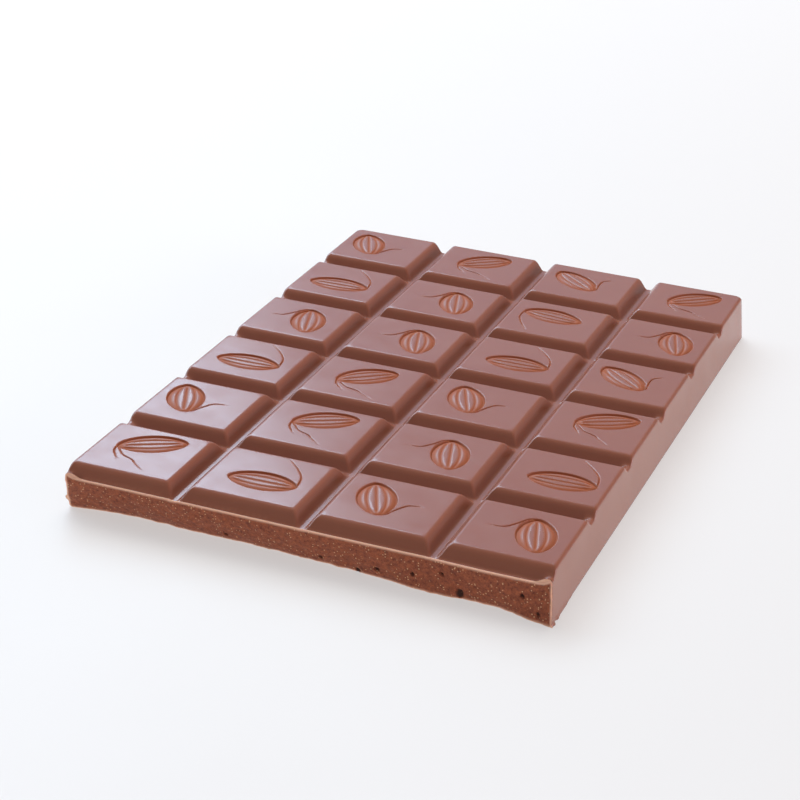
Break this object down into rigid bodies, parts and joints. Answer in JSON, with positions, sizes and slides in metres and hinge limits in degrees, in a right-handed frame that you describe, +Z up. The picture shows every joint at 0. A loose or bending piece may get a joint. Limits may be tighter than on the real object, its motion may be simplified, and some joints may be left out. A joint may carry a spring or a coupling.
{
  "type": "chocolate bar",
  "caption": "Flat slab of moulded milk chocolate in square pips, each engraved with a cocoa pod, snapped off along a groove at one end.",
  "frame": {"origin": "centre of the foot of the bounding box, on the surface that the slab lies on", "axes": "+Z up out of the pips, +Y along the slab from its snapped face to its whole end, +X across it"},
  "size_m": [0.0766, 0.1212, 0.008],
  "materials": {
    "milk_chocolate": "milk chocolate, with the satin gloss of its mould on every moulded face and matt and crumbly where it was snapped"
  },
  "bodies": {
    "root": {"chocolate_slab": "milk_chocolate"}
  },
  "joints": []
}
